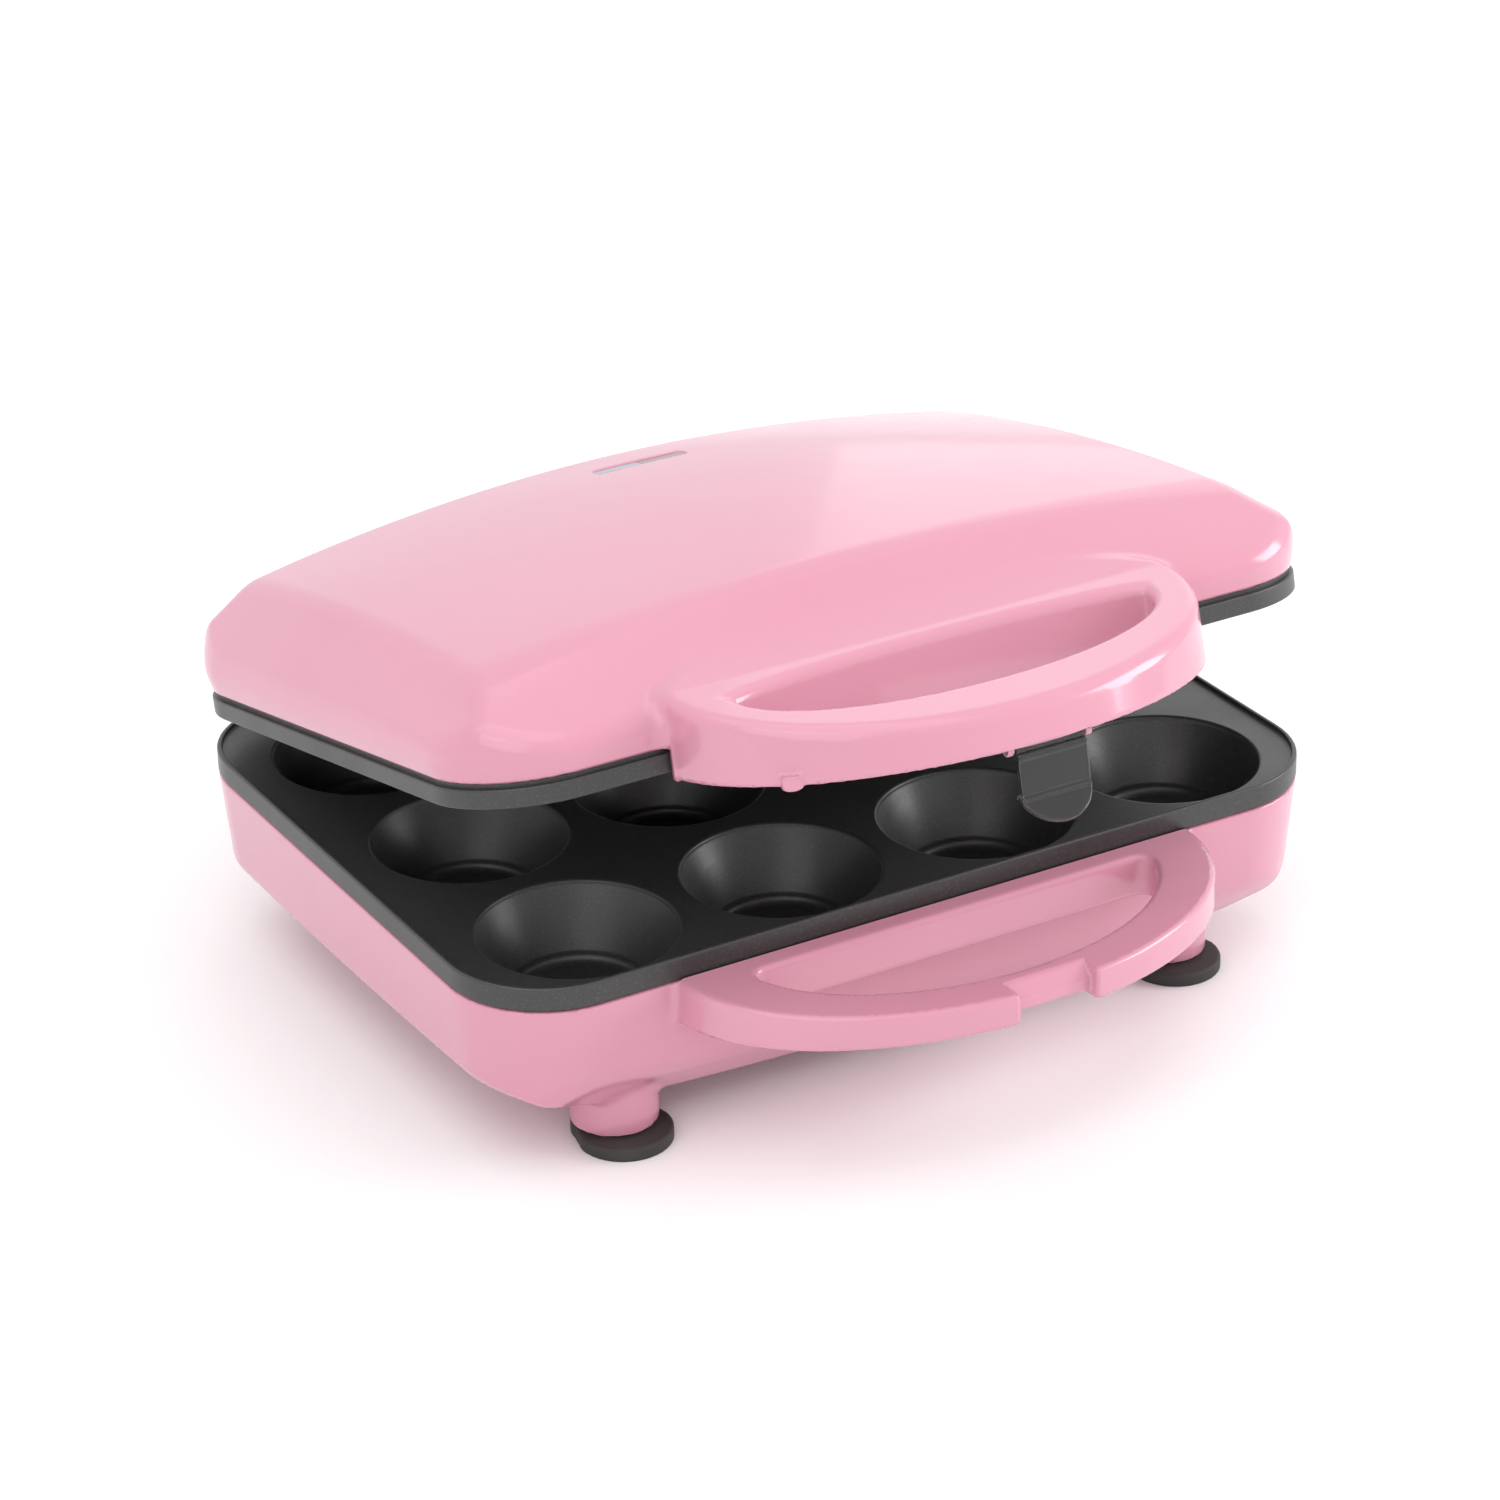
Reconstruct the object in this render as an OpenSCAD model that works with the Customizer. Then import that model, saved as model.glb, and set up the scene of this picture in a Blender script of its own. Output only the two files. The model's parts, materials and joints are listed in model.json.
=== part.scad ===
// Twelve-cup cupcake maker: a hinged two-plate countertop appliance, lid ajar.
// Millimetres, +Z up, front (handle side) towards -Y.
// Sizes are stated from the lower plate: x = 0 and y = 0 at its middle, z = 0 at the
// top of its rim. base_frame() places that point in the part's own frame, and
// lid_frame() turns the closed lid about the hinge axis to its resting angle.

/* [Baking plates] */
// Width of both plates, left to right
plate_w = 331.5; // [326:0.5:340]
// Depth of both plates, front to back
plate_d = 246.3; // [243:0.1:252]
// Corner radius of both plates
plate_corner = 36.5; // [30:0.5:42]
// Distance between neighbouring cup centres
cup_pitch = 78; // [77:0.5:79]
// Diameter of a cup below its rounded rim
cup_mouth_d = 68; // [60:1:69]
// Diameter of a cup's flat floor
cup_floor_d = 42; // [36:1:44]
// Depth of a lower cup, from the rim of the plate
cup_depth = 27; // [24:0.5:28]
// Depth of the shallow domes in the lid's plate
dome_depth = 12; // [8:0.5:13]
// How far the cup grid sits in front of the plate's middle
grid_forward = 7; // [4:0.5:8]

/* [Base] */
// Height of the lower plate's rim above the table
plate_top_z = 74.5; // [72:0.5:80]
// Depth of the base's belly below the lower plate's rim
base_depth = 62; // [58:0.5:64]
// Wall thickness of both housings
wall = 2.5; // [2:0.1:3]
// Thickness of the rubber foot pads
foot_pad_h = 5; // [4:0.5:6]
// Left-right distance of the feet from the middle
foot_x = 111.5; // [108:0.5:118]
// Front-back distance of the feet from the middle
foot_y = 96; // [88:0.5:98]

/* [Lid] */
// Angle at which the lid stands open at rest
lid_open = 13.1; // [8:0.1:20]
// Height of the crown of the lid above the rims, lid closed
lid_crown = 61; // [56:0.5:66]
// Half width of the lid's top panel
panel_half_w = 147; // [138:1:150]
// Distance of the hinge axis behind the middle of the plates
hinge_y = 159.5; // [158:0.5:164]
// Height of the hinge axis above the lower plate's rim
hinge_z = 12; // [10:0.5:14]

/* [Handles and latch] */
// Half width of both handles
handle_half_w = 101; // [98:0.5:104]
// How far the lower handle reaches in front of the housing's front face
handle_reach = 68; // [64:0.5:72]
// Offset of the latch to the right of the middle
latch_x = 3; // [0:0.5:6]
// Width of the latch tab
latch_w = 26; // [22:0.5:28]

/* [Hidden] */
$fn = 48;
soft_fn = 32;                 // facets on the shapes that a hull wraps
eps = 0.05;

hinge = [0, hinge_y, hinge_z];
knuckle_r = 11.5;
lug_inner = 72;               // the lid's lugs fill lug_inner..lug_split,
lug_split = 91.5;             // the base's lugs stand just outside them
lug_outer = 110;
pin_r = 3;
pin_clear = 0.05;

deck_z = -1.5;                // cooking surface of the lower plate
deck_t = 3;
lip_w = 2;
skirt_bottom = -8.3;
cup_floor_t = 2.2;
cup_back = 1.2;               // a cup's back stands this far outside its front, radially
cup_round = 3;                // radius of a cup's rounded rim
rim_lap = 0.6;                // ring in which each cup joins the deck
front_y = -125;               // the housings' front face, where the handles start
cup_x = [for (i = [-1.5 : 1 : 1.5]) i * cup_pitch];
cup_y = [for (j = [-1 : 1 : 1]) j * cup_pitch - grid_forward];
post_xy = [for (x = [-cup_pitch, cup_pitch], y = [-60, 46]) [x, y]];

base_top = -8.9;
plate_gap = 0.4;              // clearance between the lower plate and what stands round it
base_shrink = 0.1;            // the base's wall starts this far inside the plate's outline
draft = 0.09;                 // lean of the base's wall, per mm of depth
side_crease_z = -46;          // lower edge of the wall along the sides,
end_crease_z = -43.5;         // along the front and back,
crease_z = -42;               // and at the corners
belly_half = [125, 106];      // half width and depth of the belly, inside its shoulders
belly_rise = 5;               // the belly is this much shallower at its left and right ends
handle_top = -7.5;
handle_front = -192;
handle_t = 11.1;              // lower handle at its front
handle_rake = 0.078;          // slope of its underside, down towards the base
pedestal_r = 15;
pedestal_bottom = -plate_top_z + foot_pad_h;
foot_shift = 7;               // the pads reach this far in front of (or behind) their pedestals
foot_pad_r = 16.5;

lid_bottom = 8.5;
lid_ridge = 20;               // widest line of the lid, below its slanted shoulders
panel_front = -90;
panel_back = 92;
panel_peak_y = 38;
panel_bow = 0.00052;          // fore-and-aft curvature of the top panel

pivot = [latch_x, -188.5, -2.5];
latch_t = 2.2;
latch_face = 3;               // front face of the tab, ahead of its pivot
latch_drop = 17.8;            // from the pivot down to the fold of the finger lip
lip_len = 9;                  // reach of the finger lip beyond its fold
lip_tilt = 40;                // its lean, forwards of straight down
lip_step = 0.4;               // the lip starts this far behind the tab's face
lip_r = (pow(latch_w / 2 + 0.3, 2) + pow(lip_len, 2)) / (2 * lip_len);
latch_barrel_r = 2.4;
latch_pin_r = 1.25;
ear_r = 2.2;
latch_groove_r = 3.7;         // room in the upper handle for the top of the tab to swing
lip_reach = [0, lip_step - latch_face - lip_len * sin(lip_tilt),
             -latch_drop - lip_len * cos(lip_tilt)];

// front and back ends of the whole object, which set where its middle is
lip_arm = pivot + lip_reach - hinge;
front_reach = -(hinge_y + lip_arm[1] * cos(lid_open) + lip_arm[2] * sin(lid_open));
back_reach = hinge_y + knuckle_r;
plate_y = (front_reach - back_reach) / 2;

pink = [0.94, 0.64, 0.72];
coating = [0.10, 0.10, 0.10];
steel = [0.72, 0.72, 0.74];
rubber = [0.13, 0.12, 0.12];
smoke = [0.42, 0.44, 0.44];

// ---------- frames and shared shapes ----------

module base_frame() {
    translate([0, plate_y, plate_top_z]) children();
}

module lid_frame() {
    base_frame() translate(hinge) rotate([-lid_open, 0, 0]) translate(-hinge) children();
}

// the plates' outline, moved inwards by shrink
module outline(shrink = 0) {
    w = plate_w - 2 * shrink;
    d = plate_d - 2 * shrink;
    r = plate_corner - shrink;
    square([w - 2 * r, d], center = true);
    square([w, d - 2 * r], center = true);
    for (x = [-1, 1], y = [-1, 1])
        translate([x * (w / 2 - r), y * (d / 2 - r)]) circle(r);
}

module slab(shrink, z0, z1) {
    translate([0, 0, z0]) linear_extrude(z1 - z0) outline(shrink);
}

module ring(outer, inner, z0, z1) {
    difference() {
        slab(outer, z0, z1);
        slab(inner, z0 - 1, z1 + 1);
    }
}

module at(points) {
    for (p = points) translate([p[0], p[1], 0]) children();
}

module at_cups() {
    for (x = cup_x, y = cup_y) translate([x, y, 0]) children();
}

module at_feet() {
    for (x = [-1, 1], y = [-1, 1]) translate([x * foot_x, y * foot_y, 0]) children();
}

module rod_x(r, x0, x1) {
    translate([x0, 0, 0]) rotate([0, 90, 0]) cylinder(r = r, h = x1 - x0);
}

module rod_y(r, y0, y1) {
    translate([0, y0, 0]) rotate([-90, 0, 0]) cylinder(r = r, h = y1 - y0);
}

module rod_z(r, z0, z1) {
    translate([0, 0, z0]) cylinder(r = r, h = z1 - z0);
}

// a straight length of wire between two points, lapping the next by half a diameter
module wire(a, b, r) {
    d = b - a;
    len = norm(d);
    translate(a) rotate([0, acos(d[2] / len), atan2(d[1], d[0])])
        translate([0, 0, -r / 2]) cylinder(r = r, h = len + r, $fn = 8);
}

module wire_run(points, r) {
    for (i = [0 : len(points) - 2]) wire(points[i], points[i + 1], r);
}

// points on an ellipse about [0, cy], from angle a0 to a1
function arc_points(a, b, cy, a0, a1, steps) =
    [for (i = [0 : steps]) let (t = a0 + (a1 - a0) * i / steps) [a * cos(t), cy + b * sin(t)]];

// ---------- base ----------

function wall_shrink(z) = base_shrink + draft * (base_top - z);
function belly_z(x) = -base_depth + belly_rise * pow(x / belly_half[0], 2);

// one cross-section of the shallow belly
module belly_station(y, inset) {
    half = belly_half[0] - inset;
    xs = [for (i = [-8 : 8]) i * half / 8];
    translate([0, y, 0]) rotate([90, 0, 0]) linear_extrude(0.1) polygon(concat(
        [for (x = xs) [x, belly_z(x) + inset]], [[half, crease_z], [-half, crease_z]]));
}

// the tub: a drafted wall, a crease that bows down along the sides, and shoulders
// that slope in to the belly
module base_solid(inset) {
    side_x = plate_w / 2 - wall_shrink(side_crease_z) - inset;
    end_y = plate_d / 2 - wall_shrink(end_crease_z) - inset;
    hull() {
        slab(wall_shrink(base_top) + inset, base_top + (inset > 0 ? 1 : 0),
             base_top + (inset > 0 ? 1 : 0) + 0.1, $fn = soft_fn);
        slab(wall_shrink(crease_z) + inset, crease_z, crease_z + 0.1, $fn = soft_fn);
        translate([-side_x, 5, side_crease_z + inset]) cube([2 * side_x, 80, 0.1]);
        translate([-70, -end_y, end_crease_z + inset]) cube([140, 2 * end_y, 0.1]);
        for (y = [-1, 1]) belly_station(y * (belly_half[1] - inset), inset);
    }
}

// all that stands inside the lower plate's outline, above the wall's top edge
module plate_room() {
    slab(-plate_gap, base_top, 5);
}

module lower_handle() {
    open_a = handle_half_w - 22;
    root_y = -112;
    intersection() {
        translate([0, 0, -50]) linear_extrude(50 + handle_top) difference() {
            polygon(concat(arc_points(handle_half_w, handle_reach, front_y, 180, 360, 72),
                           [[handle_half_w, root_y], [-handle_half_w, root_y]]));
            intersection() {
                polygon(arc_points(open_a, handle_reach - 18, front_y - 2, 180, 360, 60));
                translate([-open_a, -232]) square([2 * open_a, 100]);
            }
        }
        translate([0, handle_front, handle_top - handle_t]) rotate([-atan(handle_rake), 0, 0])
            translate([-150, -20, 0]) cube([300, 150, 40]);
    }
}

// the latch's seat: a step in the bar's outer face, with its lower edge cut up for the hook
module latch_notch() {
    half = latch_w / 2 + 2;
    translate([latch_x - half, -210, -30]) cube([2 * half, 210 - 187.2, 30]);
    translate([latch_x - half, -210, -30]) cube([2 * half, 210 - 183, 13]);
    translate([latch_x - half, -183, handle_top]) rotate([45, 0, 0])
        translate([0, -12, -4]) cube([2 * half, 12, 12]);
}

module base_lug(side) {
    x0 = side > 0 ? lug_split + 0.5 : -lug_outer;
    hull() {
        translate([0, hinge_y, hinge_z]) rod_x(knuckle_r, x0, x0 + lug_outer - lug_split - 0.5);
        translate([x0, 114, -40]) cube([lug_outer - lug_split - 0.5, 7, 30]);
    }
}

module lower_housing() {
    vents = [for (x = [-48 : 12 : 48], y = [-40, 20]) [x, y]];
    below = -base_depth - 4;
    color(pink) base_frame() difference() {
        union() {
            base_solid(0);
            difference() {
                union() {
                    lower_handle();
                    for (side = [-1, 1]) base_lug(side);
                }
                plate_room();
            }
            at_feet() rod_z(pedestal_r, pedestal_bottom, -44);
        }
        difference() {
            base_solid(wall);
            at(post_xy) rod_z(6.5, below, -30.2);
            translate([-150, 112.6, below]) cube([300, 20, -below]);
            translate([block_xy[0] - 19, block_xy[1] - 7, below]) cube([38, 14, block_z - eps - below]);
        }
        at_feet() {
            difference() {
                rod_z(pedestal_r - wall, pedestal_bottom + wall, -50);
                rod_z(5, pedestal_bottom, -56);
            }
            rod_z(2.05, pedestal_bottom - 1, -58);
        }
        at(post_xy) {
            rod_z(2.05, below, -29);
            rod_z(4.6, below, -42);
        }
        latch_notch();
        translate([0, hinge_y, hinge_z]) {
            rod_x(pin_r + pin_clear, lug_split, lug_outer + 1);
            rod_x(pin_r + pin_clear, -lug_outer - 1, -lug_split);
        }
        translate([gland_x, 0, gland_z]) rod_y(gland_r + 0.1, 100, 130);
        translate([harness_x, 0, harness_z]) rod_y(harness_r + 0.2, 100, 130);
        at(vents) translate([-2, 0, below]) cube([4, 28, 20]);
    }
}

module cup(mouth_r, floor_r, rim_r, top, floor_z) {
    shoulder = top - cup_round + 0.5;
    rotate_extrude() polygon([
        [0, floor_z], [floor_r, floor_z], [floor_r + 2.5, floor_z + 2.5],
        [mouth_r, shoulder], [mouth_r + 0.9, shoulder + 1.6], [rim_r, top],
        [rim_r + rim_lap, top], [rim_r + rim_lap, top - deck_t], [mouth_r + cup_back, top - deck_t],
        [mouth_r + cup_back, shoulder - 1], [floor_r + 2.5 + cup_back, floor_z + 1.6],
        [floor_r + cup_back, floor_z - cup_floor_t], [0, floor_z - cup_floor_t]
    ]);
}

module lower_baking_plate() {
    rim_r = cup_mouth_d / 2 + cup_round;
    color(coating) base_frame() {
        difference() {
            union() {
                slab(0, deck_z - deck_t, deck_z);
                ring(0, lip_w, deck_z - 1, 0);
                ring(0, 3, skirt_bottom, deck_z);
                at(post_xy) rod_z(5, -30, deck_z - 1);
                at(clip_xy) rod_z(4, clip_z, deck_z - 1);
                at([thermostat_xy]) rod_z(7, -18, deck_z - 1);
                at([fuse_xy]) rod_z(4, -17.6, deck_z - 1);
            }
            at_cups() rod_z(rim_r + rim_lap / 2, -12, 1);
            at(post_xy) rod_z(2, -31, -16);
        }
        at_cups() cup(cup_mouth_d / 2, cup_floor_d / 2, rim_r, deck_z, -cup_depth);
    }
}

module lower_plate_screws() {
    color(steel) base_frame() at(post_xy) {
        rod_z(1.9, -42.1, -18);
        difference() {
            rod_z(4.2, -45, -42.1);
            for (a = [0, 90]) rotate(a) translate([-2.5, -0.5, -46]) cube([5, 1, 2]);
        }
    }
}

element_r = 3.3;
element_end_x = 112;
element_half = cup_pitch / 2;
leg_x = 7;
leg_bend = 6;

// one sheathed heating tube: a long loop round the middle row of cups, its two legs
// turned to the back between the two middle columns
module heating_loop() {
    rows_mid = -grid_forward;
    y0 = rows_mid - element_half;
    y1 = rows_mid + element_half;
    translate([0, y0, 0]) rod_x(element_r, -element_end_x, element_end_x);
    for (side = [-1, 1]) mirror([side > 0 ? 0 : 1, 0, 0]) {
        translate([element_end_x, rows_mid, 0]) rotate(-90)
            rotate_extrude(angle = 180) translate([element_half, 0]) circle(element_r);
        translate([0, y1, 0]) rod_x(element_r, leg_x + leg_bend, element_end_x);
        translate([leg_x + leg_bend, y1 + leg_bend, 0]) rotate(180)
            rotate_extrude(angle = 90) translate([leg_bend, 0]) circle(element_r);
        translate([leg_x, 0, 0]) rod_y(element_r, y1 + leg_bend, 102);
        translate([leg_x, 0, 0]) rod_y(1.5, 102, 109);
    }
}

element_z = -24;
clip_w = 10;
clip_l = 23;
clip_t = 1.2;
clip_heel = 6;                // how far a clip reaches past its screw, away from the tube
clip_z = element_z - element_r - eps;
clip_xy = [for (x = [-cup_pitch, cup_pitch], y = [-36, 22]) [x, y]];

module lower_heating_element() {
    color(steel) base_frame() translate([0, 0, element_z]) heating_loop();
}

// flat straps that hold the tube, each screwed to its boss on the plate
module clips(z, down) {
    for (p = clip_xy) translate([p[0], p[1], z]) mirror([0, 0, down ? 0 : 1]) {
        y0 = p[1] < 0 ? clip_heel - clip_l : -clip_heel;
        translate([-clip_w / 2, y0, -clip_t]) cube([clip_w, clip_l, clip_t]);
        rod_z(2.6, -clip_t - 1.8, -clip_t);
    }
}

module lower_element_clips() {
    color(steel) base_frame() clips(clip_z - eps, true);
}

thermostat_xy = [0, -30];
fuse_xy = [0, 18];

module reflector(z, hole_r) {
    color(steel) difference() {
        translate([0, -10, z]) linear_extrude(0.8) square([290, 190], center = true);
        at(post_xy) rod_z(hole_r, z - 1, z + 2);
    }
}

module lower_reflector() {
    base_frame() reflector(-36, 7.5);
}

module thermostat() {
    color("wheat") base_frame() at([thermostat_xy]) {
        rod_z(7.5, -26, -18.05);
        for (x = [-1, 1]) translate([x * 4 - 0.4, -3, -31]) cube([0.8, 6, 5.2]);
    }
}

module fuse(z) {
    at([fuse_xy]) translate([0, 0, z]) {
        rod_x(2, -7, 7);
        rod_x(0.6, -14, 14);
    }
}

module base_thermal_fuse() {
    color(steel) base_frame() fuse(-19.7);
}

block_xy = [40, 96];
block_z = -58 + eps;
block_h = 12;

module terminal_block() {
    color("ivory") base_frame() at([block_xy]) difference() {
        translate([-18, -6, block_z]) cube([36, 12, block_h]);
        for (x = [-12, 0, 12]) translate([x, 0, 0]) rod_z(2, block_z + 6, block_z + block_h + 1);
    }
}

gland_x = 62;
gland_z = -30;
gland_r = 6;
gland_bore = 4;
gland_y0 = 104;
gland_y1 = 126.8;

module cord_gland() {
    color(rubber) base_frame() translate([gland_x, 0, gland_z]) difference() {
        union() {
            rod_y(gland_r, gland_y0, gland_y1);
            rod_y(gland_r + 3, gland_y1 - 4.5, gland_y1);
        }
        rod_y(gland_bore, gland_y0 - 1, gland_y1 + 1);
    }
}

module base_wiring() {
    color([0.35, 0.33, 0.30]) base_frame() {
        for (i = [-1, 0, 1])
            wire_run([[gland_x + 1.9 * i, 103, gland_z], [block_xy[0] + 12 * i, block_xy[1], -43.5],
                      [block_xy[0] + 12 * i, block_xy[1], -50]], 0.9);
        for (side = [-1, 1])
            wire_run([[side * leg_x, 110.7, element_z], [side * leg_x, 110.7, -33],
                      [block_xy[0] + 6 * side - 6, 103.5, -50]], 0.9);
    }
}

// a foot pad: a round pad under the pedestal, drawn out towards the nearer end
module foot_pad(sx, sy) {
    color(rubber) base_frame() translate([sx * foot_x, sy * foot_y, -plate_top_z]) difference() {
        linear_extrude(foot_pad_h - eps) {
            circle(pedestal_r);
            translate([0, sy * foot_shift]) circle(foot_pad_r);
        }
        rod_z(2.3, -1, foot_pad_h + 1);
        rod_z(5, -1, 3);
    }
}

module foot_pad_front_left() { foot_pad(-1, -1); }
module foot_pad_front_right() { foot_pad(1, -1); }
module foot_pad_rear_left() { foot_pad(-1, 1); }
module foot_pad_rear_right() { foot_pad(1, 1); }

module foot_screws() {
    color(steel) base_frame() at_feet() translate([0, 0, -plate_top_z]) {
        rod_z(1.9, 2.9, 15);
        difference() {
            rod_z(4.6, 0.8, 2.95);
            for (a = [0, 90]) rotate(a) translate([-2.5, -0.5, 0]) cube([5, 1, 2]);
        }
    }
}

module hinge_pin(side) {
    color(steel) base_frame() translate(hinge) mirror([side > 0 ? 0 : 1, 0, 0]) {
        rod_x(pin_r, 81, lug_outer + 0.1);
        rod_x(5.5, lug_outer + 0.1, lug_outer + 2.6);
    }
}

module hinge_pin_left() { hinge_pin(-1); }
module hinge_pin_right() { hinge_pin(1); }

harness_x = -60;
harness_z = -22;
harness_r = 3.5;
harness_bend = 12;
harness_end = -73.8;

// the sleeved leads to the lid: out of the base, up to the hinge axis and along it into
// the lid's left lug, where the lid turns round them
module hinge_harness() {
    color([0.20, 0.19, 0.18]) base_frame() {
        translate([harness_x, 0, harness_z]) rod_y(harness_r, 108, hinge_y - harness_bend);
        translate([harness_x, hinge_y - harness_bend, harness_z + harness_bend])
            rotate([0, 90, 0]) rotate_extrude(angle = 90)
                translate([harness_bend, 0]) circle(harness_r);
        translate([harness_x, hinge_y, 0])
            rod_z(harness_r, harness_z + harness_bend, hinge_z - harness_bend);
        translate([harness_x - harness_bend, hinge_y, hinge_z - harness_bend])
            rotate([90, 0, 0]) rotate_extrude(angle = 90)
                translate([harness_bend, 0]) circle(harness_r);
        translate([0, hinge_y, hinge_z]) rod_x(harness_r, harness_end, harness_x - harness_bend);
    }
}

// ---------- lid ----------

function panel_edge(y) = lid_crown - 13.4 - panel_bow * pow(y - panel_peak_y, 2);
function panel_rise(y) = 11.4 + 0.03 * y;
function panel_z(x, y) = panel_edge(y) + panel_rise(y) * (1 - pow(x / panel_half_w, 2));

// one cross-section of the arched top panel
module panel_station(y, inset) {
    half = panel_half_w - inset;
    xs = [for (i = [-12 : 12]) i * half / 12];
    translate([0, y, 0]) rotate([90, 0, 0]) linear_extrude(0.1) polygon(concat(
        [for (x = xs) [x, panel_z(x, y) - inset]], [[half, lid_ridge], [-half, lid_ridge]]));
}

module lid_solid(inset) {
    hull() {
        slab(0.8 + inset, lid_bottom - (inset > 0 ? 1 : 0), lid_bottom + 0.1, $fn = soft_fn);
        slab(-1.2 + inset, lid_ridge - 0.1, lid_ridge, $fn = soft_fn);
        for (y = [panel_front + inset * 0.7, -45, -5, 46, panel_back - inset * 0.7])
            panel_station(y, inset);
    }
}

module upper_handle() {
    bottom = -1.75;
    slope = 0.2;
    top_at_front_face = 25.5;
    a = handle_half_w - 3;
    intersection() {
        translate([0, 0, bottom]) linear_extrude(40) difference() {
            polygon(concat(arc_points(a, handle_reach + 1.5, front_y, 180, 360, 72),
                           arc_points(a, 24, front_y, 5, 175, 36)));
            polygon(concat(arc_points(a - 19, 32, front_y - 12, 180, 360, 48),
                           arc_points(a - 19, 7, front_y - 12, 12, 168, 24)));
        }
        translate([0, front_y, top_at_front_face]) rotate([atan(slope), 0, 0])
            translate([-150, -100, -80]) cube([300, 150, 80]);
    }
}

module lid_lug(side) {
    x0 = side > 0 ? lug_inner : -lug_split;
    hull() {
        translate([0, hinge_y, hinge_z]) rod_x(knuckle_r - 0.5, x0, x0 + lug_split - lug_inner);
        translate([x0, 114, 14]) cube([lug_split - lug_inner, 8, 20]);
    }
}

module latch_ears() {
    for (side = [-1, 1]) translate([pivot[0] + side * (latch_w / 2 + 1.7), pivot[1], pivot[2]]) {
        rod_x(ear_r, -1.3, 1.3);
        translate([-1.3, -ear_r, 0]) cube([2.6, 2 * ear_r, 1.5]);
    }
}

lens_y = 65;
lens_l = 18;
lens_w = 7;

module upper_housing() {
    color(pink) lid_frame() difference() {
        union() {
            difference() {
                union() {
                    lid_solid(0);
                    difference() {
                        upper_handle();
                        slab(-1.2, -10, lid_bottom);
                    }
                    for (side = [-1, 1]) lid_lug(side);
                    translate([-78, -166, 0]) rod_z(3.5, -2.9, 2);
                }
                difference() {
                    lid_solid(wall);
                    at(post_xy) rod_z(5, 8.1, 70);
                }
            }
            latch_ears();
        }
        at(post_xy) rod_z(2, 0, 24);
        translate(hinge) {
            rod_x(pin_r + pin_clear, 80, lug_outer);
            rod_x(pin_r + pin_clear, -lug_outer, -80);
            rod_x(harness_r + 0.5, -78, -lug_inner + 1);
            translate([-75.8, 0, 0]) rotate([70, 0, 0]) rod_z(2.6, 0, 46);
        }
        translate(pivot) rod_x(latch_groove_r, -latch_w / 2 - 0.4, latch_w / 2 + 0.4);
        translate(pivot) rod_x(latch_pin_r + 0.05, -30, 30);
        translate([-lens_l, lens_y - lens_w / 2, 50]) cube([2 * lens_l, lens_w, 20]);
    }
}

module upper_baking_plate() {
    rim_r = cup_mouth_d / 2 + cup_round;
    under = 1.9;
    color(coating) lid_frame() {
        difference() {
            union() {
                slab(0, under, under + deck_t);
                ring(0, lip_w, 0.4, under + 1);
                ring(0, 3, under, 7);
                ring(2, 5, 6, lid_bottom - eps);
                at(post_xy) rod_z(5, under + 1, 8);
                at(clip_xy) rod_z(4, under + 1, 8.6);
                at([fuse_xy]) rod_z(4, under + 1, 7.6);
            }
            at_cups() rod_z(rim_r + rim_lap / 2, -1, 8);
            at(post_xy) {
                rod_z(2, -1, 9);
                rod_z(4, -1, 4.6);
            }
        }
        at_cups() rotate_extrude() polygon([
            [0, under + dome_depth], [0, under + dome_depth + cup_floor_t],
            [15, under + dome_depth + 1.1], [28, under + 7.6], [35, under + deck_t],
            [rim_r + rim_lap, under + deck_t], [rim_r + rim_lap, under], [rim_r, under],
            [34, under + 2], [27, under + 5.6], [14, under + dome_depth - 1.2]
        ]);
    }
}

module upper_plate_screws() {
    color(steel) lid_frame() at(post_xy) {
        rod_z(1.9, 4.5, 22);
        difference() {
            rod_z(3.8, 2.2, 4.55);
            for (a = [0, 90]) rotate(a) translate([-2.2, -0.5, 1.5]) cube([4.4, 1, 1.6]);
        }
    }
}

upper_element_z = 12;

module upper_heating_element() {
    color(steel) lid_frame() translate([0, 0, upper_element_z]) heating_loop();
}

module upper_element_clips() {
    color(steel) lid_frame() {
        clips(upper_element_z + element_r + 2 * eps, false);
        at(clip_xy) rod_z(3, 8.65, upper_element_z + element_r + 2 * eps);
    }
}

module upper_reflector() {
    lid_frame() reflector(24.5, 6);
}

module lid_thermal_fuse() {
    color(steel) lid_frame() fuse(9.7);
}

module lid_wiring() {
    color([0.35, 0.33, 0.30]) lid_frame() {
        translate(hinge) translate([-75.8, 0, 0]) rotate([70, 0, 0]) rod_z(1.8, 1, 46);
        for (side = [-1, 1])
            wire_run([[side * leg_x, 111, upper_element_z], [side * leg_x, 111, 19],
                      [side * leg_x * 3, 96, 28], [side * 9, 75.8, 43]], 0.9);
    }
}

module lens(x0) {
    top = panel_z(lens_l, lens_y) - 0.3;
    translate([x0 + 0.1, lens_y - lens_w / 2 + 0.1, top - 3]) cube([lens_l - 0.2, lens_w - 0.2, 3]);
}

module power_lens() {
    color([0.45, 0.52, 0.58]) lid_frame() lens(-lens_l);
}

module ready_lens() {
    color([0.40, 0.10, 0.10]) lid_frame() lens(0);
}

module lamp_holder() {
    color("ivory") lid_frame() {
        difference() {
            translate([-24, lens_y - 9, 44]) cube([48, 18, 7]);
            for (x = [-9, 9]) translate([x - 7.5, lens_y - 4, 45.5]) cube([15, 8, 10]);
        }
        for (x = [-22.5, 22.5]) translate([x, lens_y, 0]) rod_z(1.5, 50, 57.5);
    }
}

module lamp(x) {
    translate([x, lens_y, 49]) rod_x(3, -6, 6);
}

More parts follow.
